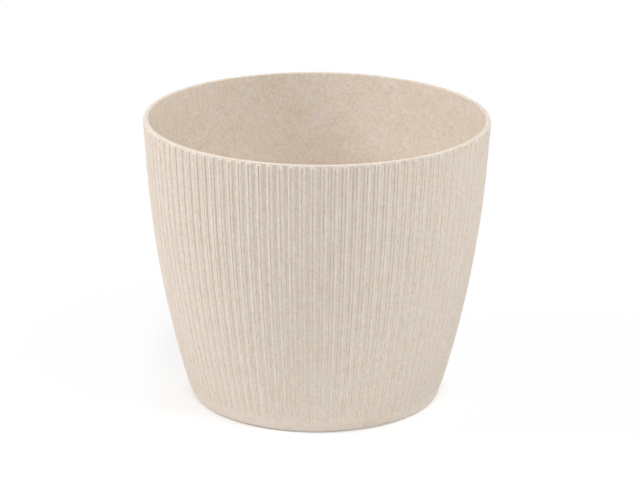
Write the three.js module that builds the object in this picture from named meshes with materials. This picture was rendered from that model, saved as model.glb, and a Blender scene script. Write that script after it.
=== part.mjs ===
// Ribbed plastic plant pot: one thin-walled moulding with a curved, tapering wall, a narrow rounded lip,
// paired ribs all round the outside, a plain inside and a raised underside within a foot ring.
//
// Millimetres, +Z up. The origin is the centre of the foot ring, on the ground. The pot is drawn as one
// half-section in radius and height, from the axis under the floor, out round the foot, up the wall, over
// the lip and down the inside to the axis again. Every point of the section becomes a ring, and the rings
// are lofted into one closed skin. Rings on the ribbed stretch follow the rib section instead of a circle.

import * as THREE from 'three';

// Overall form
const rimDiameter = 191; // across the lip
const height = 160;
const baseDiameter = 139.4; // where the wall would meet the ground if the foot had no round
const wallBulge = 5.4; // how far the wall stands out from a straight cone at its middle
const rimFlare = 0.5; // how far the rim stands out from the wall's arc
const flareHeight = 22; // height over which the wall flares, up to the rim

// Walls and edges
const wallThickness = 2.3;
const floorThickness = 2.6;
const lipRound = 0.4;
const footRound = 3;
const insideRound = 6;

// Underside
const footRingWidth = 5;
const undersideRise = 1.6; // from the ground up to the raised underside
const undersideDraft = 1.2; // how far the step from foot ring to underside leans in
const gateDiameter = 7;
const gateHeight = 0.8;

// Ribs, with widths taken round the rim. Each pair is two flat-topped ridges with a narrow groove between
// them, and a shallow band runs from one pair to the next
const ribPairs = 104;
const grooveWidth = 0.6; // between the crests of a pair
const crestWidth = 0.95; // flat top of one ridge
const flankWidth = 0.85; // from a crest down to the band
const ridgeHeightAtRim = 0.67; // crests above the bands
const ridgeHeightAtFoot = 0.32;
const grooveDepthAtRim = 0.36; // groove below the crests
const grooveDepthAtFoot = 0.17;
const ribTurn = -1.18; // degrees from the front of the pot to the nearest groove
const lipBand = 0.3; // plain wall between the lip's round and the ends of the ribs
const ribEndAtLip = 1.3; // height over which the ribs die away under the lip
const footBand = 2; // plain wall between the foot's round and the ends of the ribs
const ribEndAtFoot = 7; // height over which the ribs die away over the foot

// Smoothness of the curves
const roundSteps = 3;
const lipSteps = 2;
const wallSteps = 4;

const colour = 0xd6c8b8;

// Section
// The outside of the wall is an arc from the base corner up to just inside the rim. Its centre lies far
// inside, and near the rim the wall flares out from it
const rim = new THREE.Vector2(rimDiameter / 2, height);
const arcTop = new THREE.Vector2(rim.x - rimFlare, height);
const baseCorner = new THREE.Vector2(baseDiameter / 2, 0);
const chord = arcTop.clone().sub(baseCorner);
const wallRadius = chord.lengthSq() / (8 * wallBulge) + wallBulge / 2;
const inward = new THREE.Vector2(-chord.y, chord.x).normalize();
const wallCentre = arcTop.clone().add(baseCorner).multiplyScalar(0.5)
  .addScaledVector(inward, wallRadius - wallBulge);

// Angle, seen from the wall's centre, at which a circle about that centre reaches a height
function wallAngle(radius, z) {
  return Math.asin((z - wallCentre.y) / radius);
}

function pointAt(centre, radius, angle) {
  return new THREE.Vector2(centre.x + radius * Math.cos(angle), centre.y + radius * Math.sin(angle));
}

// A point of the wall's arc moved out by the flare at its height
function flared(point) {
  const rise = Math.max(0, 1 - (height - point.y) / flareHeight);
  return new THREE.Vector2(point.x + rimFlare * rise ** 2, point.y);
}

function arc(centre, radius, from, to, steps) {
  return new THREE.EllipseCurve(centre.x, centre.y, radius, radius, from, to, to < from).getPoints(steps);
}

// Centre of a round of the given radius that touches the inner side of a wall arc and sits on a level
function roundOnWall(arcRadius, roundRadius, level) {
  const reach = arcRadius - roundRadius;
  return pointAt(wallCentre, reach, wallAngle(reach, level + roundRadius));
}

const undersideZ = undersideRise;
const floorZ = undersideRise + floorThickness;
const insideRadius = wallRadius - wallThickness;

const footCentre = roundOnWall(wallRadius, footRound, 0);
const footAngle = wallAngle(wallRadius - footRound, footRound);
const insideCentre = roundOnWall(insideRadius, insideRound, floorZ);
const insideAngle = wallAngle(insideRadius - insideRound, floorZ + insideRound);

const lipZ = height - lipRound;
const lipOuter = new THREE.Vector2(rim.x - lipRound, lipZ);
const lipInnerEdge = flared(pointAt(wallCentre, insideRadius, wallAngle(insideRadius, lipZ)));
const lipInner = new THREE.Vector2(lipInnerEdge.x + lipRound, lipZ);

const footRingOuter = footCentre.x;
const footRingInner = footRingOuter - footRingWidth;

// Ribs
const pitch = (2 * Math.PI) / ribPairs;
const crestStart = grooveWidth / 2;
const crestEnd = crestStart + crestWidth;
const flankFoot = crestEnd + flankWidth;
const front = -Math.PI / 2 + THREE.MathUtils.degToRad(ribTurn);

const footTop = pointAt(wallCentre, wallRadius, footAngle).y;
const ribFullBottom = footTop + footBand + ribEndAtFoot;
const ribTop = lipZ - lipBand;
const ribFullTop = ribTop - ribEndAtLip;

// One pair of ribs at height z, as distances round the rim from its groove, each with its height over the
// bands
function ribSection(z) {
  const share = z / height;
  const ridge = THREE.MathUtils.lerp(ridgeHeightAtFoot, ridgeHeightAtRim, share);
  const groove = THREE.MathUtils.lerp(grooveDepthAtFoot, grooveDepthAtRim, share);
  return [
    { across: -flankFoot, lift: 0 },
    { across: -crestEnd, lift: ridge },
    { across: -crestStart, lift: ridge },
    { across: 0, lift: ridge - groove },
    { across: crestStart, lift: ridge },
    { across: crestEnd, lift: ridge },
    { across: flankFoot, lift: 0 },
  ];
}

// Rings, each an object with its points and their angles round the axis
function makeRing(columns) {
  const points = columns.map(({ angle, radius, z }) => (
    new THREE.Vector3(radius * Math.cos(angle), radius * Math.sin(angle), z)
  ));
  return { points, angles: columns.map(({ angle }) => angle) };
}

function plainRing({ x: radius, y: z }) {
  const columns = Array.from({ length: ribPairs }, (unused, pair) => (
    { angle: front + pair * pitch, radius, z }
  ));
  return makeRing(columns);
}

// The wall at height z with the ribs standing off it at right angles
function ribbedRing(z) {
  const slope = wallAngle(wallRadius, z);
  const columns = [];
  for (let pair = 0; pair < ribPairs; pair += 1) {
    for (const { across, lift } of ribSection(z)) {
      const point = flared(pointAt(wallCentre, wallRadius + lift, slope));
      columns.push({ angle: front + pair * pitch + across / rim.x, radius: point.x, z: point.y });
    }
  }
  return makeRing(columns);
}

// Triangles between two rings, the lower or earlier one first. Both are walked round together, and the
// ring whose next edge has the smaller middle angle moves on, so rings of unlike counts meet evenly
function bridge(triangles, below, above) {
  const middle = ({ angles }, index) => {
    const next = index + 1 < angles.length ? angles[index + 1] : angles[0] + 2 * Math.PI;
    return (angles[index] + next) / 2;
  };
  const pick = ({ points }, index) => points[index % points.length];
  let lower = 0;
  let upper = 0;
  while (lower < below.points.length || upper < above.points.length) {
    const lowerDone = lower === below.points.length;
    const upperDone = upper === above.points.length;
    if (upperDone || (!lowerDone && middle(below, lower) <= middle(above, upper))) {
      triangles.push(pick(below, lower), pick(below, lower + 1), pick(above, upper));
      lower += 1;
    } else {
      triangles.push(pick(below, lower), pick(above, upper + 1), pick(above, upper));
      upper += 1;
    }
  }
}

// A flat disc between a ring and a point on the axis, facing up or down
function closeOnAxis(triangles, ring, facingUp) {
  const centre = new THREE.Vector3(0, 0, ring.points[0].z);
  ring.points.forEach((point, index) => {
    const next = ring.points[(index + 1) % ring.points.length];
    triangles.push(centre, facingUp ? point : next, facingUp ? next : point);
  });
}

function loft(rings) {
  const triangles = [];
  closeOnAxis(triangles, rings[0], false);
  for (let index = 1; index < rings.length; index += 1) {
    bridge(triangles, rings[index - 1], rings[index]);
  }
  closeOnAxis(triangles, rings[rings.length - 1], true);
  const geometry = new THREE.BufferGeometry().setFromPoints(triangles);
  geometry.computeVertexNormals();
  return geometry;
}

// Underside, foot ring and the round up to the wall
function footRings() {
  const gateRadius = gateDiameter / 2;
  return [
    new THREE.Vector2(gateRadius, undersideZ - gateHeight),
    new THREE.Vector2(gateRadius, undersideZ),
    new THREE.Vector2(footRingInner - undersideDraft, undersideZ),
    new THREE.Vector2(footRingInner, 0),
    ...arc(footCentre, footRound, -Math.PI / 2, footAngle, roundSteps),
    pointAt(wallCentre, wallRadius, wallAngle(wallRadius, footTop + footBand)),
  ].map(plainRing);
}

function ribRings() {
  return Array.from({ length: wallSteps + 1 }, (unused, step) => (
    ribbedRing(THREE.MathUtils.lerp(ribFullBottom, ribFullTop, step / wallSteps))
  ));
}

function lipRings() {
  return [
    flared(pointAt(wallCentre, wallRadius, wallAngle(wallRadius, ribTop))),
    ...arc(lipOuter, lipRound, 0, Math.PI / 2, lipSteps),
    ...arc(lipInner, lipRound, Math.PI / 2, Math.PI, lipSteps),
  ].map(plainRing);
}

// Inside of the wall, the round at its foot and the edge of the floor
function insideRings() {
  const top = wallAngle(insideRadius, lipZ);
  return [
    ...arc(wallCentre, insideRadius, top, insideAngle, wallSteps).slice(1).map(flared),
    ...arc(insideCentre, insideRound, insideAngle, -Math.PI / 2, roundSteps).slice(1),
  ].map(plainRing);
}

function makePot() {
  const geometry = loft([...footRings(), ...ribRings(), ...lipRings(), ...insideRings()]);
  const material = new THREE.MeshStandardMaterial({ color: colour, roughness: 0.7, metalness: 0 });
  const pot = new THREE.Mesh(geometry, material);
  pot.name = 'pot';
  return pot;
}

const plantPot = new THREE.Group();
plantPot.add(makePot());

export default plantPot;
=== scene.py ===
# Ribbed plastic plant pot: the finished skin of the pot in its wood-filled plastic, and a plain white studio.
#
# Metres, +Z up. The origin is the centre of the foot ring, on the ground, and the front faces -Y.
import math
from collections import namedtuple

import bpy
import numpy as np
from bpy.props import FloatProperty, FloatVectorProperty, IntProperty, PointerProperty
from mathutils import Matrix, Vector


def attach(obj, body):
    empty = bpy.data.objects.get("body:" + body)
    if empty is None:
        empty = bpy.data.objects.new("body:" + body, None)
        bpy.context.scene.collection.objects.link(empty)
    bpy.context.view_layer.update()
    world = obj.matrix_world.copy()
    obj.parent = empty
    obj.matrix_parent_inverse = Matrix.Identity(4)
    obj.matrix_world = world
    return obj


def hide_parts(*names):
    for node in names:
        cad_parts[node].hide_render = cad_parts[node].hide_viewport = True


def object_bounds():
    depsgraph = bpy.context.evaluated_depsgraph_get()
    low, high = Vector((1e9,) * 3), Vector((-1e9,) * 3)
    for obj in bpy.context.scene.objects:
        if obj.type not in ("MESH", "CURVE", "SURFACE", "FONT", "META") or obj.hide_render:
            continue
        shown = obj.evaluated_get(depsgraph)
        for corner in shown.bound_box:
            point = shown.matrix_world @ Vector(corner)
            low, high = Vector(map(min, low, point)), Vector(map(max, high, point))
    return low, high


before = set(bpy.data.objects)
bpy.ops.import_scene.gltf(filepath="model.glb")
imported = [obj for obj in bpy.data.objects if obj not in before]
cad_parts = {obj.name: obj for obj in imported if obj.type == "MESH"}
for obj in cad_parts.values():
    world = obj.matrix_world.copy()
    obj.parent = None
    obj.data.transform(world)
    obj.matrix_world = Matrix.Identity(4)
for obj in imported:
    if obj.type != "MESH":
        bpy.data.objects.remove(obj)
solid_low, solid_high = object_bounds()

bl_info = {
    "name": "Ribbed plant pot",
    "version": (1, 0, 0),
    "blender": (4, 5, 0),
    "location": "View3D > Sidebar > Plant pot",
    "description": "Makes a ribbed plastic plant pot and a plain white studio for it",
    "category": "Add Mesh",
}

MM = 0.001
PLANE_NAME = "studio_floor"


class PotShape(bpy.types.PropertyGroup):
    """Sizes of the pot's section: wall, lip, foot, floor and underside."""

    rim_diameter: FloatProperty(name="Rim diameter", default=191 * MM, unit="LENGTH",
                                description="Across the lip")
    height: FloatProperty(name="Height", default=solid_high.z, unit="LENGTH",
                          description="From the ground to the top of the lip")
    base_diameter: FloatProperty(name="Base diameter", default=139.4 * MM, unit="LENGTH",
                                 description="Where the wall would meet the ground if the foot had no round")
    wall_bulge: FloatProperty(name="Wall bulge", default=5.4 * MM, unit="LENGTH",
                              description="How far the wall stands out from a straight cone at its middle")
    rim_flare: FloatProperty(name="Rim flare", default=0.5 * MM, unit="LENGTH",
                             description="How far the rim stands out from the wall's arc")
    flare_height: FloatProperty(name="Flare height", default=22 * MM, unit="LENGTH",
                                description="Height over which the wall flares, up to the rim")
    wall_thickness: FloatProperty(name="Wall thickness", default=2.3 * MM, unit="LENGTH",
                                  description="Thickness of the wall under the ribs")
    floor_thickness: FloatProperty(name="Floor thickness", default=2.6 * MM, unit="LENGTH",
                                   description="From the raised underside to the inner floor")
    lip_round: FloatProperty(name="Lip round", default=0.4 * MM, unit="LENGTH",
                             description="Radius of both edges of the lip")
    foot_round: FloatProperty(name="Foot round", default=3 * MM, unit="LENGTH",
                              description="Radius between the foot ring and the wall")
    inside_round: FloatProperty(name="Inside round", default=6 * MM, unit="LENGTH",
                                description="Radius between the inner floor and the wall")
    foot_ring_width: FloatProperty(name="Foot ring width", default=5 * MM, unit="LENGTH",
                                   description="Width of the flat ring that the pot stands on")
    underside_rise: FloatProperty(name="Underside rise", default=1.6 * MM, unit="LENGTH",
                                  description="From the ground up to the raised underside")
    underside_draft: FloatProperty(name="Underside draft", default=1.2 * MM, unit="LENGTH",
                                   description="How far the step from foot ring to underside leans in")
    gate_diameter: FloatProperty(name="Gate diameter", default=7 * MM, unit="LENGTH",
                                 description="Round mark that the moulding's feed leaves under the floor")
    gate_height: FloatProperty(name="Gate height", default=0.8 * MM, unit="LENGTH",
                               description="How far the gate mark stands out")
    edge_round: FloatProperty(name="Edge round", default=0.35 * MM, unit="LENGTH",
                              description="Softening of the small corners under the pot")


class RibShape(bpy.types.PropertyGroup):
    """Sizes of the paired ribs. Widths are taken round the rim."""

    pairs: IntProperty(name="Rib pairs", default=104, min=8, description="Pairs of ribs round the pot")
    turn: FloatProperty(name="Turn", default=math.radians(-1.18), unit="ROTATION",
                        description="From the front of the pot to the nearest groove")
    groove_width: FloatProperty(name="Groove width", default=0.55 * MM, unit="LENGTH",
                                description="Between the crests of a pair")
    crest_width: FloatProperty(name="Crest width", default=0.95 * MM, unit="LENGTH",
                               description="Flat top of one ridge")
    flank_width: FloatProperty(name="Flank width", default=0.85 * MM, unit="LENGTH",
                               description="From a crest down to the band")
    height_at_rim: FloatProperty(name="Height at rim", default=0.65 * MM, unit="LENGTH",
                                 description="Crests over the bands at the rim")
    height_at_foot: FloatProperty(name="Height at foot", default=0.32 * MM, unit="LENGTH",
                                  description="Crests over the bands at the foot")
    groove_at_rim: FloatProperty(name="Groove at rim", default=0.58 * MM, unit="LENGTH",
                                 description="Groove below the crests at the rim")
    groove_at_foot: FloatProperty(name="Groove at foot", default=0.29 * MM, unit="LENGTH",
                                  description="Groove below the crests at the foot")
    dome: FloatProperty(name="Dome", default=0.07, min=0, max=1,
                        description="How far a crest falls off from groove to flank, as a share of its height")
    sink: FloatProperty(name="Sink", default=0.5, min=0, max=1,
                        description="Dip of the wall at a flank's foot, as a share of the crests' height")
    lip_band: FloatProperty(name="Lip band", default=0.5 * MM, unit="LENGTH",
                            description="Plain wall between the lip's round and the ends of the ribs")
    end_at_lip: FloatProperty(name="End at lip", default=0.9 * MM, unit="LENGTH",
                              description="Height over which the ribs die away under the lip")
    groove_end: FloatProperty(name="Groove end", default=0.7 * MM, unit="LENGTH",
                              description="Height over which a groove closes, under the end of its ribs")
    foot_band: FloatProperty(name="Foot band", default=2 * MM, unit="LENGTH",
                             description="Plain wall between the foot's round and the ends of the ribs")
    end_at_foot: FloatProperty(name="End at foot", default=7 * MM, unit="LENGTH",
                               description="Height over which the ribs die away over the foot")


class PotFinish(bpy.types.PropertyGroup):
    """Colours and grain of the wood-filled plastic."""

    warm: FloatVectorProperty(name="Warm plastic", subtype="COLOR", size=3, default=(0.812, 0.713, 0.603),
                              description="Colour of the plastic where its hue drifts to red")
    cool: FloatVectorProperty(name="Cool plastic", subtype="COLOR", size=3, default=(0.790, 0.727, 0.660),
                              description="Colour of the plastic where its hue drifts to grey")
    fibre: FloatVectorProperty(name="Fibre", subtype="COLOR", size=3, default=(0.43, 0.33, 0.26),
                               description="Colour of the wood fibres and specks")
    grain_size: FloatProperty(name="Grain size", default=1.8 * MM, unit="LENGTH",
                              description="Width of the coarsest mottling")
    patch_size: FloatProperty(name="Patch size", default=8 * MM, unit="LENGTH",
                              description="Width of the patches of warmer and cooler plastic")
    contrast: FloatProperty(name="Contrast", default=1.05, min=0,
                            description="Strength of the mottling")
    roughness: FloatProperty(name="Roughness", default=0.62, min=0, max=1, subtype="FACTOR",
                             description="Roughness of the moulded surface")


class Studio(bpy.types.PropertyGroup):
    """Camera, lamps and floor."""

    camera_distance: FloatProperty(name="Camera distance", default=1.615, unit="LENGTH",
                                   description="From the middle of the pot to the camera")
    camera_elevation: FloatProperty(name="Camera elevation", default=0.32194, unit="ROTATION",
                                    description="Angle of the camera over the level through the pot's middle")
    camera_tilt: FloatProperty(name="Camera tilt", default=0.31719, unit="ROTATION",
                               description="Angle at which the camera looks down")
    camera_turn: FloatProperty(name="Camera turn", default=0.00135, unit="ROTATION",
                               description="Angle at which the camera looks off to the right")
    camera_roll: FloatProperty(name="Camera roll", default=0.0077, unit="ROTATION",
                               description="Turn of the camera about its own axis")
    focal_length: FloatProperty(name="Focal length", default=162.03, unit="CAMERA",
                                description="Focal length in millimetres on a 36 mm sensor")
    ambient: FloatProperty(name="Ambient light", default=0.147, min=0,
                           description="Strength of the plain light from all round")
    lamp_level: FloatProperty(name="Lamp level", default=0.88, min=0,
                              description="Factor on all the lamps")
    shadow_share: FloatProperty(name="Shadow share", default=0.35, min=0, max=1, subtype="FACTOR",
                                description="How much of the floor's look comes from the light on it")
    contact_share: FloatProperty(name="Contact share", default=0.6, min=0, max=1, subtype="FACTOR",
                                 description="How much more of it comes from that light close to the foot")


class PlantPot(bpy.types.PropertyGroup):
    """Everything that a user would change."""

    shape: PointerProperty(type=PotShape, name="Shape", description="Sizes of the pot")
    ribs: PointerProperty(type=RibShape, name="Ribs", description="Sizes of the ribs")
    finish: PointerProperty(type=PotFinish, name="Finish", description="Colours and grain")
    studio: PointerProperty(type=Studio, name="Studio", description="Camera, lamps and floor")


# Steps along the curves of the section
PLAIN_STEPS = 6
WALL_STEPS = 16
LIP_END_STEPS = 7
FOOT_END_STEPS = 6

# Steps across one rib, from the middle of its groove to the middle of the band
GROOVE_STEPS = 3
CREST_STEPS = 3
FLANK_STEPS = 5
BAND_STEPS = 3

# Rings on the inner floor, as shares of its radius
FLOOR_RINGS = (0.97, 0.25)


# Section of the pot, as points (distance from the axis, height)

def smooth_step(x, start, end):
    """0 before start, 1 after end, and 3 t^2 - 2 t^3 between them, where t is the share of the way."""
    t = np.clip((x - start) / (end - start), 0, 1)
    return t * t * (3 - 2 * t)


def on_circle(centre, radius, angle):
    """centre + radius (cos angle, sin angle), for one angle or an array of them."""
    return centre + radius * np.stack([np.cos(angle), np.sin(angle)], axis=-1)


def arc(centre, radius, start, end, steps):
    """Points of a circle at equal steps of angle from start to end, both ends included."""
    return on_circle(centre, radius, np.linspace(start, end, steps + 1))


def soften(corners, size, steps=3):
    """A line through corners with every inner corner softened.

    The corner P is replaced by the curve (1-t)^2 A + 2 t (1-t) P + t^2 B, where A and B lie on its two legs at
    the given size from P, or half way along a shorter leg.
    """
    corner = corners[1:-1]
    back = corners[:-2] - corner
    ahead = corners[2:] - corner
    reach_back = np.linalg.norm(back, axis=1, keepdims=True)
    reach_ahead = np.linalg.norm(ahead, axis=1, keepdims=True)
    start = corner + back / reach_back * np.minimum(size, reach_back / 2)
    end = corner + ahead / reach_ahead * np.minimum(size, reach_ahead / 2)
    t = np.linspace(0, 1, steps + 1)[None, :, None]
    curves = (1 - t) ** 2 * start[:, None] + 2 * t * (1 - t) * corner[:, None] + t ** 2 * end[:, None]
    return np.concatenate([corners[:1], curves.reshape(-1, 2), corners[-1:]])


class Section:
    """The half-section of the pot, from the axis under the floor, round the outside, to the axis again.

    The outside of the wall is an arc through the rim and the base corner. With a chord c between them and a bulge
    b over the chord, the arc's radius is c^2 / 8b + b / 2, and its centre lies inside on the chord's bisector.
    Near the rim the wall flares out from the arc by f t^2, where t is the share of the flare's height.
    """

    def __init__(self, shape, ribs):
        self.shape = shape
        self.ribs = ribs
        rim = np.array([shape.rim_diameter / 2 - shape.rim_flare, shape.height])
        corner = np.array([shape.base_diameter / 2, 0])
        chord = rim - corner
        length = np.hypot(*chord)
        self.outer = length ** 2 / (8 * shape.wall_bulge) + shape.wall_bulge / 2
        self.inner = self.outer - shape.wall_thickness
        inward = np.array([-chord[1], chord[0]]) / length
        self.centre = (rim + corner) / 2 + inward * (self.outer - shape.wall_bulge)
        self.lip = shape.height - shape.lip_round
        self.rib_top = self.lip - ribs.lip_band
        self.foot_centre, self.foot_angle = self.round_on_wall(self.outer, shape.foot_round, 0)
        self.foot_top = on_circle(self.foot_centre, shape.foot_round, self.foot_angle)[1]
        self.rib_bottom = self.foot_top + ribs.foot_band
        self.crest_start = ribs.groove_width / 2
        self.crest_end = self.crest_start + ribs.crest_width
        self.flank_foot = self.crest_end + ribs.flank_width
        self.band_middle = math.pi / ribs.pairs * shape.rim_diameter / 2

    def flared(self, points):
        """Points of the wall's arc moved out by the flare at their heights."""
        rise = np.clip((points[..., 1] - self.shape.height) / self.shape.flare_height + 1, 0, 1)
        return points + (self.shape.rim_flare * rise ** 2)[..., None] * [1, 0]

    def angle_at(self, radius, height):
        """Angle at which an arc about the wall's centre reaches a height: the arcsine of rise over radius."""
        return np.arcsin((height - self.centre[1]) / radius)

    def round_on_wall(self, radius, size, level):
        """Centre of a round that touches a wall arc from inside and sits on a level, and where it touches."""
        reach = radius - size
        angle = self.angle_at(reach, level + size)
        return on_circle(self.centre, reach, angle), angle

    def underside_and_foot(self):
        """Gate mark, raised underside, foot ring, foot round, and plain wall up to the ribs."""
        shape = self.shape
        gate = shape.gate_diameter / 2
        rise = shape.underside_rise
        ring_inner = self.foot_centre[0] - shape.foot_ring_width
        under = soften(np.array([
            [gate / 2, rise - shape.gate_height],
            [gate, rise - shape.gate_height],
            [gate, rise],
            [ring_inner - shape.underside_draft, rise],
            [ring_inner, 0],
            [self.foot_centre[0] - shape.edge_round, 0],
        ]), shape.edge_round)
        foot = arc(self.foot_centre, shape.foot_round, -math.pi / 2, self.foot_angle, PLAIN_STEPS)
        band = on_circle(self.centre, self.outer, self.angle_at(self.outer, self.rib_bottom))
        return np.concatenate([under, foot, band[None]])

    def rib_heights(self):
        """Heights of the ribbed rings: close where the ribs die away at foot and lip, wide between."""
        foot_end = self.rib_bottom + self.ribs.end_at_foot
        lip_start = self.rib_top - self.ribs.end_at_lip - self.ribs.groove_end
        return np.concatenate([
            np.linspace(self.rib_bottom, foot_end, FOOT_END_STEPS + 1)[1:],
            np.linspace(foot_end, lip_start, WALL_STEPS + 1)[1:],
            np.linspace(lip_start, self.rib_top, LIP_END_STEPS + 1)[1:-1],
        ])

    def lip_and_inside(self):
        """Plain wall over the ribs, lip, inside of the wall, inside round, and floor."""
        shape = self.shape
        top = self.flared(on_circle(self.centre, self.outer, self.angle_at(self.outer, self.rib_top)))
        outer_round = np.array([shape.rim_diameter / 2 - shape.lip_round, self.lip])
        inner_top = self.angle_at(self.inner, self.lip)
        inner_round = self.flared(on_circle(self.centre, self.inner, inner_top)) + [shape.lip_round, 0]
        level = shape.underside_rise + shape.floor_thickness
        floor_round, floor_angle = self.round_on_wall(self.inner, shape.inside_round, level)
        return np.concatenate([
            top[None],
            arc(outer_round, shape.lip_round, 0, math.pi / 2, PLAIN_STEPS),
            arc(inner_round, shape.lip_round, math.pi / 2, math.pi, PLAIN_STEPS),
            self.flared(arc(self.centre, self.inner, inner_top, floor_angle, WALL_STEPS))[1:],
            arc(floor_round, shape.inside_round, floor_angle, -math.pi / 2, PLAIN_STEPS)[1:],
            np.outer(FLOOR_RINGS, floor_round) * [1, 0] + [0, level],
        ])


# Skin of the pot, as rings of points round the axis

def rib_relief(section, across, height):
    """How far the ribs lift the wall, over the distance across from a groove and the height, as whole arrays.

    Across a pair, the flank shape steps up smoothly from 0 at the crest's end to 1 at the flank's foot. The crest
    shape is (1 - dome * t^2) * (1 - flank), where t is the share of the way from the groove to the crest's end.
    The dip shape is the flank shape, stepped back to 0 at the middle of the band, and the notch shape steps down
    from 1 at the groove to 0 at the crest's start. The lift is rib * (crest - sink * dip) - groove * notch. Rib
    and groove grow in proportion to height and die away in a smooth step over the foot. Under the lip the rib
    dies away as 1 - t^2, where t is the share of that end's height, and the notch closes in a smooth step.
    """
    ribs = section.ribs
    share = height / section.shape.height
    fade = smooth_step(height, section.rib_bottom, section.rib_bottom + ribs.end_at_foot)
    end = np.clip((height - section.rib_top) / ribs.end_at_lip + 1, 0, 1)
    open_notch = 1 - smooth_step(height, section.rib_top - ribs.groove_end, section.rib_top)
    rib = (ribs.height_at_foot + (ribs.height_at_rim - ribs.height_at_foot) * share) * fade * (1 - end ** 2)
    groove = (ribs.groove_at_foot + (ribs.groove_at_rim - ribs.groove_at_foot) * share) * fade
    flank = smooth_step(across, section.crest_end, section.flank_foot)
    crest = (1 - ribs.dome * np.minimum(across / section.crest_end, 1) ** 2) * (1 - flank)
    notch = 1 - smooth_step(across, 0, section.crest_start)
    dip = flank * (1 - smooth_step(across, section.flank_foot, section.band_middle))
    return rib[:, None] * (crest - ribs.sink * dip) - (groove * open_notch)[:, None] * notch


def rings(points, angles):
    """Points (distance, height), one for each ring or one for each point of each ring, turned about the axis.

    Gives (distance cos angle, distance sin angle, height) as an array of rings by columns by 3.
    """
    distance, height = points[..., 0], points[..., 1]
    return np.stack([distance * np.cos(angles), distance * np.sin(angles), height + 0 * angles], axis=-1)


def grid_faces(index):
    """Quads between neighbouring rings of a grid of vertex numbers, the last column closing on the first."""
    right = np.roll(index, -1, axis=1)
    return np.stack([index[:-1], right[:-1], right[1:], index[1:]], axis=-1).reshape(-1, 4)


def seam_faces(coarse, fine, fine_above):
    """Triangles between a ring with few points and a ring with a whole number of times as many.

    Of the fine edges that face one coarse edge, the first half fan to its start and the rest to its end, and one
    triangle from the coarse edge to the fine point between the halves closes the fan.
    """
    fine = fine.reshape(len(coarse), -1)
    following = np.roll(fine.ravel(), -1).reshape(fine.shape)
    end = np.roll(coarse, -1)
    half = fine.shape[1] // 2
    tip = np.where(np.arange(fine.shape[1]) < half, coarse[:, None], end[:, None])
    fans = np.stack([tip, following, fine], axis=-1).reshape(-1, 3)
    closing = np.stack([coarse, end, fine[:, half]], axis=-1)
    faces = np.concatenate([fans, closing])
    return faces if fine_above else faces[:, ::-1]


def pole_faces(ring, pole, facing_up):
    """A fan from a ring to one vertex on the axis."""
    end = np.roll(ring, -1)
    faces = np.stack([ring, end, np.full_like(ring, pole)], axis=-1)
    return faces if facing_up else faces[:, ::-1]


def rib_columns(section):
    """Columns of the ribbed stretch from one groove to the next, close together over groove, crest and flank.

    Gives for each its distance from the nearer groove and its angle from the first one. The second half mirrors
    the first about the middle of the band, and an angle is a distance round the rim over the rim's radius.
    """
    half = np.concatenate([
        np.linspace(0, section.crest_start, GROOVE_STEPS + 1)[:-1],
        np.linspace(section.crest_start, section.crest_end, CREST_STEPS + 1)[:-1],
        np.linspace(section.crest_end, section.flank_foot, FLANK_STEPS + 1)[:-1],
        np.linspace(section.flank_foot, section.band_middle, BAND_STEPS + 1),
    ])
    mirrored = half[-2:0:-1]
    across = np.concatenate([half, mirrored])
    along = np.concatenate([half, 2 * half[-1] - mirrored])
    return across, along / (section.shape.rim_diameter / 2)


def pot_skin(section):
    """Vertices and faces of the closed skin.

    Plain stretches have a column at each groove and one at the middle of each band, and the ribbed stretch has
    more between them.
    """
    ribs = section.ribs
    pitch = 2 * math.pi / ribs.pairs
    front = ribs.turn - math.pi / 2
    across, turn = rib_columns(section)
    coarse_angles = front + np.arange(2 * ribs.pairs) * pitch / 2
    fine_angles = (front + np.arange(ribs.pairs)[:, None] * pitch + turn).ravel()

    height = section.rib_heights()
    slope = section.angle_at(section.outer, height)
    lift = np.tile(rib_relief(section, across, height), (1, ribs.pairs))
    outward = np.stack([np.cos(slope), np.sin(slope)], axis=-1)
    ribbed = section.flared(section.centre + (section.outer + lift)[..., None] * outward[:, None])

    lower = rings(section.underside_and_foot()[:, None], coarse_angles)
    middle = rings(ribbed, fine_angles)
    upper = rings(section.lip_and_inside()[:, None], coarse_angles)
    poles = np.array([[0, 0, lower[0, 0, 2]], [0, 0, upper[-1, 0, 2]]])
    vertices = np.concatenate([part.reshape(-1, 3) for part in (lower, middle, upper, poles)])

    number = np.arange(len(vertices))
    lower_index = number[:lower.size // 3].reshape(lower.shape[:2])
    middle_index = (lower_index.size + number[:middle.size // 3]).reshape(middle.shape[:2])
    upper_index = (lower_index.size + middle_index.size + number[:upper.size // 3]).reshape(upper.shape[:2])
    quads = np.concatenate([grid_faces(index) for index in (lower_index, middle_index, upper_index)])
    triangles = np.concatenate([
        pole_faces(lower_index[0], number[-2], False),
        seam_faces(lower_index[-1], middle_index[0], True),
        seam_faces(upper_index[0], middle_index[-1], False),
        pole_faces(upper_index[-1], number[-1], True),
    ])
    return vertices, quads.tolist() + triangles.tolist()


# Materials

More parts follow.
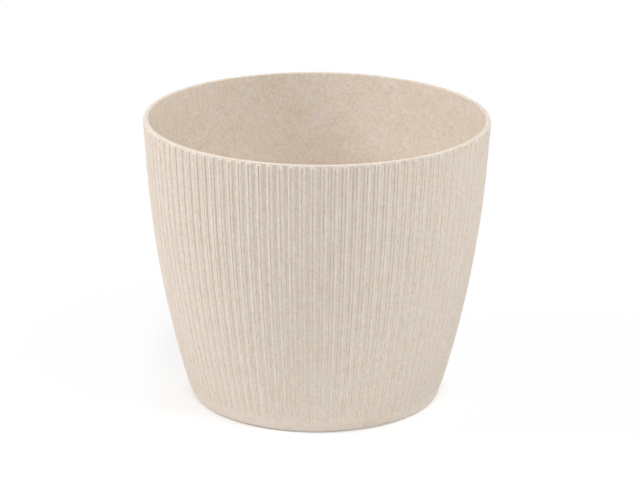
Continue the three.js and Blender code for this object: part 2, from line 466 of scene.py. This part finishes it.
class Wire:
    """An output socket. Python's operators on it, with numbers or other wires, add Math nodes to its sheet."""

    def __init__(self, sheet, socket):
        self.sheet = sheet
        self.socket = socket

    def math(self, operation, *values):
        """A Math node on these values."""
        return self.sheet.node("ShaderNodeMath", {"operation": operation}, dict(enumerate(values)))

    def __add__(self, other):
        return self.math("ADD", self, other)

    def __radd__(self, other):
        return self.math("ADD", other, self)

    def __sub__(self, other):
        return self.math("SUBTRACT", self, other)

    def __rsub__(self, other):
        return self.math("SUBTRACT", other, self)

    def __mul__(self, other):
        return self.math("MULTIPLY", self, other)

    def __rmul__(self, other):
        return self.math("MULTIPLY", other, self)

    def __abs__(self):
        return self.math("ABSOLUTE", self)

    def clip(self):
        """This wire held between 0 and 1."""
        return self.sheet.node("ShaderNodeClamp", inputs={"Value": self})

    def ramp(self, start, end):
        """0 up to start, 1 from end on, and in proportion between them."""
        return ((self - start) * (1 / (end - start))).clip()

    def blend(self, first, second):
        """The first colour where this wire is 0 and the second where it is 1."""
        return self.sheet.node("ShaderNodeMix", {"data_type": "RGBA"}, {"Factor": self, "A": first, "B": second})


class Sheet:
    """The node tree of a material or of the world, empty at first."""

    def __init__(self, owner):
        owner.use_nodes = True
        self.tree = owner.node_tree
        self.tree.nodes.clear()

    def node(self, kind, settings=None, inputs=None, output=0):
        """Adds a node and gives one of its outputs as a wire.

        Settings are set first, since they decide which sockets are in use. Inputs and the output are named, or
        numbered among the sockets in use.
        """
        node = self.tree.nodes.new(kind)
        for name, value in (settings or {}).items():
            setattr(node, name, value)
        for name, value in (inputs or {}).items():
            socket = self.find(node.inputs, name)
            if isinstance(value, Wire):
                self.tree.links.new(value.socket, socket)
            else:
                socket.default_value = value
        return Wire(self, self.find(node.outputs, output)) if node.outputs else None

    @staticmethod
    def find(sockets, name):
        """The socket of that name, or of that number among those in use."""
        in_use = [socket for socket in sockets if socket.enabled]
        return in_use[name] if isinstance(name, int) else next(s for s in in_use if s.name == name)


WHITE = (1, 1, 1, 1)
FLOOR_WHITE = (0.97, 0.97, 0.97, 1)

# Strengths of the hue's drift and of the mottling, and plain shares of fibre and of cool plastic in the colour.
# The inside's smaller shares of fibre and cool plastic make it lighter and warmer: painted warm bounce light.
Side = namedtuple("Side", "drift mottling fibre cool")
OUTSIDE = Side(0.4, 0.7, 0.25, 0.62)
INSIDE_MOTTLING_AND_PAINTED_BOUNCE = Side(0.9, 1.0, 0.20, 0.30)

# Sizes of the noises that make the fibres and cut them to length, in grain sizes, and specks to a grain size
STRAND_SIZE = 1.2
BREAK_SIZE = 1.8
SPECK_COUNT = 0.76

# How sharply the strand noise is cut to fibres, the fibres to lengths, the cells to specks, and inside to outside
FIBRE_EDGE = 22
BREAK_EDGE = 6
SPECK_EDGE = 4.5
SIDE_EDGE = 40

# What a fibre and a speck add to the share of the fibres' colour, and what the drift takes off it and does to hue
FIBRE_SHARE = 0.2
SPECK_SHARE = 0.4
DRIFT_SHARE = 0.25
DRIFT_HUE = 3.5

# Grain in the surface: spread of the roughness, and depth and strength of the bumps
ROUGHNESS_SPREAD = 0.2
BUMP_DEPTH = 0.05 * MM
BUMP_STRENGTH = 0.35
BUMP_OF_GRAIN = 0.7
BUMP_OF_FIBRE = 0.3

# Height of the core that inside faces look towards, as a share of the pot's height
CORE_HEIGHT = 0.6

# Shadow on the floor away from its patch, as a share of the shadow in the patch
REST_OF_SHADOW = 0.2


def opaque(colour):
    """The colour with an alpha of 1."""
    return (*colour, 1)


def plastic_material(finish):
    """Matte moulded plastic filled with wood: mottling, short fibres, a few specks, patches of drifting hue.

    A fibre runs where the strand noise is close to a half, and breaks off where a second noise falls under a half.
    A speck is the middle of a cell. A face is inside where it looks towards the core, a point on the axis, so
    where its normal's dot product with the way out from the core is negative. The colour is the drifting hue of
    the plastic, mixed with the fibres' colour by the side's own share, less the mottling and part of the drift,
    plus the shares of fibres and specks. The inside's own shares make it lighter and warmer than the outside:
    painted light, standing in for the warm light bounced round inside the pot.
    """
    material = bpy.data.materials.new("wood_filled_plastic")
    sheet = Sheet(material)
    place = sheet.node("ShaderNodeTexCoord", output="Object")

    def noise(size, detail=0.0, roughness=0.5, distortion=0.0):
        return sheet.node("ShaderNodeTexNoise", None, {
            "Vector": place, "Scale": 1 / size, "Detail": detail, "Roughness": roughness, "Distortion": distortion})

    grain = noise(finish.grain_size, detail=4, roughness=0.7, distortion=0.3)
    patches = noise(finish.patch_size, detail=2)
    strands = noise(STRAND_SIZE * finish.grain_size, detail=1, distortion=1.6)
    breaks = noise(BREAK_SIZE * finish.grain_size)
    cells = sheet.node("ShaderNodeTexVoronoi", None, {"Vector": place, "Scale": SPECK_COUNT / finish.grain_size})

    fibre = (1 - abs(strands - 0.5) * FIBRE_EDGE).clip() * ((breaks - 0.5) * BREAK_EDGE).clip()
    speck = (1 - cells * SPECK_EDGE).clip()

    core = (0, 0, CORE_HEIGHT * solid_high.z)
    normal = sheet.node("ShaderNodeTexCoord", output="Normal")
    way_out = sheet.node("ShaderNodeVectorMath", {"operation": "SUBTRACT"}, {0: place, 1: core})
    outward = sheet.node("ShaderNodeVectorMath", {"operation": "DOT_PRODUCT"}, {0: normal, 1: way_out})
    inside = (outward * -SIDE_EDGE).clip()
    # Inside faces take the inside's values, whose fibre and cool shares paint in warm bounce light
    side = Side(*(inside * (inner - outer) + outer for outer, inner in zip(OUTSIDE, INSIDE_MOTTLING_AND_PAINTED_BOUNCE)))

    drift = (patches - 0.5) * side.drift
    mottling = (grain - 0.5) * side.mottling * finish.contrast
    dark = (side.fibre - mottling - drift * DRIFT_SHARE + fibre * FIBRE_SHARE + speck * SPECK_SHARE).clip()
    tone = (drift * DRIFT_HUE + side.cool).clip().blend(opaque(finish.warm), opaque(finish.cool))
    bumpy = sheet.node("ShaderNodeBump", None, {
        "Strength": BUMP_STRENGTH, "Distance": BUMP_DEPTH, "Height": grain * BUMP_OF_GRAIN + fibre * BUMP_OF_FIBRE})
    surface = sheet.node("ShaderNodeBsdfPrincipled", None, {
        "Base Color": dark.blend(tone, opaque(finish.fibre)),
        "Roughness": (grain - 0.5) * ROUGHNESS_SPREAD + finish.roughness,
        "Normal": bumpy})
    sheet.node("ShaderNodeOutputMaterial", None, {"Surface": surface})
    return material


def looked_at(sheet):
    """1 for what the camera sees, straight or in gloss or glass, and 0 for what lights the pot."""
    straight, gloss, glass = (sheet.node("ShaderNodeLightPath", output=name)
                              for name in ("Is Camera Ray", "Is Glossy Ray", "Is Transmission Ray"))
    return (straight + gloss + glass).clip()


def floor_material(studio):
    """White floor. The camera sees plain white with a share of the lit floor, which holds the shadow.

    The share is the shadow share over a patch at the left of the foot, less over the rest of the floor near the
    pot, and 0 far away. Close to the foot, the contact share is added.
    """
    material = bpy.data.materials.new("white_floor")
    sheet = Sheet(material)
    place = sheet.node("ShaderNodeTexCoord", output="Object")
    across = sheet.node("ShaderNodeSeparateXYZ", None, {0: place})
    distance = sheet.node("ShaderNodeVectorMath", {"operation": "LENGTH"}, {0: place})
    near = distance.ramp(300 * MM, 175 * MM)
    patch = across.ramp(-100 * MM, -81.8 * MM) * across.ramp(0, -50 * MM) * distance.ramp(180 * MM, 113.3 * MM)
    contact = distance.ramp(77 * MM, 70.75 * MM)
    shadow = (patch * (1 - REST_OF_SHADOW) + REST_OF_SHADOW) * near
    share = shadow * studio.shadow_share + contact * studio.contact_share
    lit = sheet.node("ShaderNodeBsdfDiffuse", None, {"Color": FLOOR_WHITE})
    white = sheet.node("ShaderNodeEmission", None, {"Color": WHITE, "Strength": 1})
    seen = sheet.node("ShaderNodeMixShader", None, {0: share, 1: white, 2: lit})
    surface = sheet.node("ShaderNodeMixShader", None, {0: looked_at(sheet), 1: lit, 2: seen})
    sheet.node("ShaderNodeOutputMaterial", None, {"Surface": surface})
    return material


# Pieces and stage

Lamp = namedtuple("Lamp", "name azimuth elevation distance width height power")

# Azimuth is in degrees round the pot from the front to the right, elevation in degrees over its middle, distance
# and sizes in metres, and power in watts
LAMPS = (
    Lamp("left_softbox", -82, 35, 1.6, 0.5, 0.8, 18.4),
    Lamp("high_right_softbox", 45, 60, 1.6, 0.5, 0.8, 14.4),
    Lamp("high_left_softbox", -45, 60, 1.6, 0.8, 0.8, 0.9),
    Lamp("front_softbox", 0, 35, 1.6, 0.8, 0.8, 4.4),
    Lamp("right_softbox", 81, 35, 1.6, 0.8, 0.8, 4.7),
    Lamp("low_back_left_softbox", -120, 10, 1.6, 0.8, 0.8, 2.4),
    Lamp("low_back_right_softbox", 120, 10, 1.6, 0.8, 0.8, 5.7),
)


def place_object(name, data):
    """A new object at the origin, in place of any earlier one of its name."""
    earlier = bpy.data.objects.get(name)
    if earlier:
        bpy.data.objects.remove(earlier)
    made = bpy.data.objects.new(name, data)
    bpy.context.scene.collection.objects.link(made)
    return made


def direction(azimuth, elevation):
    """Unit vector from the pot, azimuth round to the right of the front and elevation above the level."""
    return Vector((math.sin(azimuth) * math.cos(elevation), -math.cos(azimuth) * math.cos(elevation),
                   math.sin(elevation)))


def make_camera(studio, middle):
    """Camera in front of the pot and above it, looking down, a touch to the right and rolled."""
    data = bpy.data.cameras.new("camera")
    data.sensor_width = 36
    data.lens = studio.focal_length
    data.clip_start = 0.1
    data.clip_end = 50
    camera = place_object("camera", data)
    place = middle + direction(0, studio.camera_elevation) * studio.camera_distance
    turned = (Matrix.Rotation(math.pi / 2 - studio.camera_tilt, 4, "X")
              @ Matrix.Rotation(-studio.camera_turn, 4, "Y") @ Matrix.Rotation(studio.camera_roll, 4, "Z"))
    camera.matrix_world = Matrix.Translation(place) @ turned
    bpy.context.scene.camera = camera


def make_lamp(lamp, level, middle):
    """Area lamp that faces the pot's middle and stays out of the camera's sight."""
    data = bpy.data.lights.new(lamp.name, "AREA")
    data.shape = "RECTANGLE"
    data.size = lamp.width
    data.size_y = lamp.height
    data.energy = lamp.power * level
    made = place_object(lamp.name, data)
    outward = direction(math.radians(lamp.azimuth), math.radians(lamp.elevation))
    turned = outward.to_track_quat("Z", "Y").to_matrix().to_4x4()
    made.matrix_world = Matrix.Translation(middle + outward * lamp.distance) @ turned
    made.visible_camera = False


def make_floor(studio):
    """Level square that reaches past everything the camera sees."""
    reach = 8
    mesh = bpy.data.meshes.new(PLANE_NAME)
    mesh.from_pydata([(-reach, -reach, 0), (reach, -reach, 0), (reach, reach, 0), (-reach, reach, 0)], [],
                     [(0, 1, 2, 3)])
    mesh.materials.append(floor_material(studio))
    place_object(PLANE_NAME, mesh)


def make_world(studio):
    """Plain light from all round, and plain white wherever the camera looks past the floor."""
    world = bpy.data.worlds.new("studio_world")
    bpy.context.scene.world = world
    sheet = Sheet(world)
    light = sheet.node("ShaderNodeBackground", None, {"Color": WHITE, "Strength": studio.ambient})
    white = sheet.node("ShaderNodeBackground", None, {"Color": WHITE, "Strength": 1})
    surface = sheet.node("ShaderNodeMixShader", None, {0: looked_at(sheet), 1: light, 2: white})
    sheet.node("ShaderNodeOutputWorld", None, {"Surface": surface})


class PLANTPOT_OT_make_pot(bpy.types.Operator):
    """Make the ribbed pot in its wood-filled plastic"""

    bl_idname = "plantpot.make_pot"
    bl_label = "Make pot"

    def execute(self, context):
        settings = context.scene.plant_pot
        vertices, faces = pot_skin(Section(settings.shape, settings.ribs))
        mesh = bpy.data.meshes.new("plant_pot")
        mesh.from_pydata(vertices, [], faces)
        mesh.shade_smooth()
        mesh.materials.append(plastic_material(settings.finish))
        pot = place_object("plant_pot", mesh)
        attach(pot, "root")
        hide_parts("pot")
        return {"FINISHED"}


class PLANTPOT_OT_make_studio(bpy.types.Operator):
    """Make the white floor, the lamps, the plain world and the camera"""

    bl_idname = "plantpot.make_studio"
    bl_label = "Make studio"

    def execute(self, context):
        settings = context.scene.plant_pot
        middle = Vector((0, 0, settings.shape.height / 2))
        make_floor(settings.studio)
        for lamp in LAMPS:
            make_lamp(lamp, settings.studio.lamp_level, middle)
        make_world(settings.studio)
        make_camera(settings.studio, middle)
        context.scene.view_settings.view_transform = "Standard"
        return {"FINISHED"}


class PLANTPOT_PT_panel(bpy.types.Panel):
    """The pot's sizes, colours and studio, each with its button"""

    bl_idname = "PLANTPOT_PT_panel"
    bl_label = "Plant pot"
    bl_space_type = "VIEW_3D"
    bl_region_type = "UI"
    bl_category = "Plant pot"

    def draw(self, context):
        settings = context.scene.plant_pot
        for title, group, button in (("Shape", settings.shape, None), ("Ribs", settings.ribs, None),
                                     ("Finish", settings.finish, PLANTPOT_OT_make_pot),
                                     ("Studio", settings.studio, PLANTPOT_OT_make_studio)):
            box = self.layout.box()
            box.label(text=title)
            for name in group.__annotations__:
                box.prop(group, name)
            if button:
                box.operator(button.bl_idname)


CLASSES = (PotShape, RibShape, PotFinish, Studio, PlantPot, PLANTPOT_OT_make_pot, PLANTPOT_OT_make_studio,
           PLANTPOT_PT_panel)


def register():
    for made in CLASSES:
        bpy.utils.register_class(made)
    bpy.types.Scene.plant_pot = PointerProperty(type=PlantPot)


def unregister():
    del bpy.types.Scene.plant_pot
    for made in reversed(CLASSES):
        bpy.utils.unregister_class(made)


def main():
    register()
    bpy.ops.plantpot.make_pot()
    bpy.ops.plantpot.make_studio()


if __name__ == "__main__":
    main()
